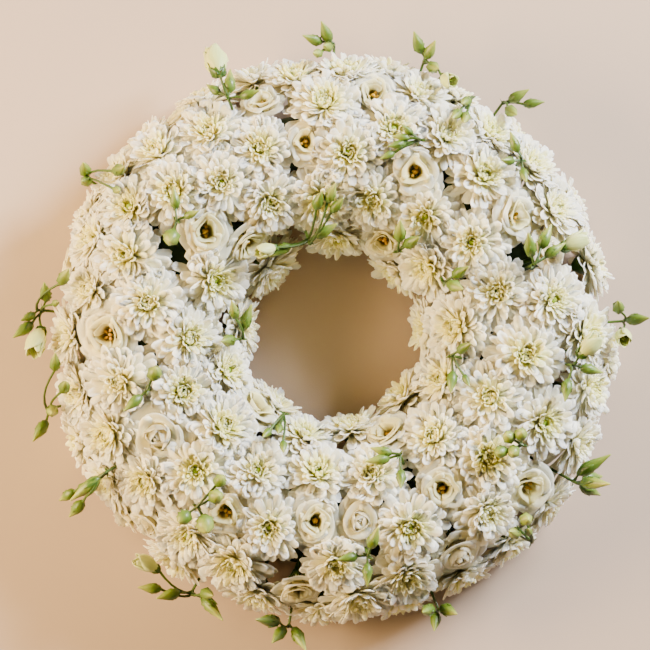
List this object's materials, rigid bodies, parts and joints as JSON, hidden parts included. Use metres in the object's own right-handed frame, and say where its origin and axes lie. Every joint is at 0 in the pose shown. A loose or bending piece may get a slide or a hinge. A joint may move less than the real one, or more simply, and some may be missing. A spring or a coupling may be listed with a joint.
{
  "type": "chrysanthemum and lisianthus wreath",
  "caption": "Round flower wreath: chrysanthemum heads, lisianthus blooms and bud sprays stand in a wet foam ring in a plastic tray that lies flat round an open centre.",
  "frame": {"origin": "on the surface that the wreath lies on, under the centre of its box, which is the middle of the ring to within 3 mm", "axes": "+Z up, the way the flowers face; +Y is up and +X is right in the picture"},
  "size_m": [0.4991, 0.494, 0.1241],
  "materials": {
    "chrysanthemum_white": "matte",
    "lisianthus_cream": "satin",
    "bud_green": "satin",
    "wet_foam": "matte",
    "tray_plastic": "satin"
  },
  "bodies": {
    "root": {"bud_spray_01": "bud_green", "bud_spray_02": "bud_green", "bud_spray_03": "bud_green", "bud_spray_04": "bud_green", "bud_spray_05": "bud_green", "bud_spray_06": "bud_green", "bud_spray_07": "bud_green", "bud_spray_08": "bud_green", "bud_spray_09": "bud_green", "bud_spray_10": "bud_green", "bud_spray_11": "bud_green", "bud_spray_12": "bud_green", "bud_spray_13": "bud_green", "bud_spray_14": "bud_green", "bud_spray_15": "bud_green", "bud_spray_16": "bud_green", "bud_spray_17": "bud_green", "bud_spray_18": "bud_green", "bud_spray_19": "bud_green", "bud_spray_20": "bud_green", "bud_spray_21": "bud_green", "bud_spray_22": "bud_green", "bud_spray_23": "bud_green", "bud_spray_24": "bud_green", "bud_spray_25": "bud_green", "bud_spray_26": "bud_green", "bud_spray_27": "bud_green", "bud_spray_28": "bud_green", "bud_spray_29": "bud_green", "bud_spray_30": "bud_green", "bud_spray_31": "bud_green", "chrysanthemum_spray_01": "chrysanthemum_white", "chrysanthemum_spray_02": "chrysanthemum_white", "chrysanthemum_spray_03": "chrysanthemum_white", "chrysanthemum_spray_04": "chrysanthemum_white", "chrysanthemum_spray_05": "chrysanthemum_white", "chrysanthemum_spray_06": "chrysanthemum_white", "chrysanthemum_spray_07": "chrysanthemum_white", "foam_ring": "wet_foam", "lisianthus_bloom_01": "lisianthus_cream", "lisianthus_bloom_02": "lisianthus_cream", "lisianthus_bloom_03": "lisianthus_cream", "lisianthus_bloom_04": "lisianthus_cream", "lisianthus_bloom_05": "lisianthus_cream", "lisianthus_bloom_06": "lisianthus_cream", "lisianthus_bloom_07": "lisianthus_cream", "lisianthus_bloom_08": "lisianthus_cream", "lisianthus_bloom_09": "lisianthus_cream", "lisianthus_bloom_10": "lisianthus_cream", "lisianthus_bloom_11": "lisianthus_cream", "lisianthus_bloom_12": "lisianthus_cream", "lisianthus_bloom_13": "lisianthus_cream", "lisianthus_bloom_14": "lisianthus_cream", "lisianthus_bloom_15": "lisianthus_cream", "lisianthus_bloom_16": "lisianthus_cream", "lisianthus_bloom_17": "lisianthus_cream", "lisianthus_bloom_18": "lisianthus_cream", "lisianthus_bloom_19": "lisianthus_cream", "lisianthus_bloom_20": "lisianthus_cream", "tray_ring": "tray_plastic"}
  },
  "joints": []
}
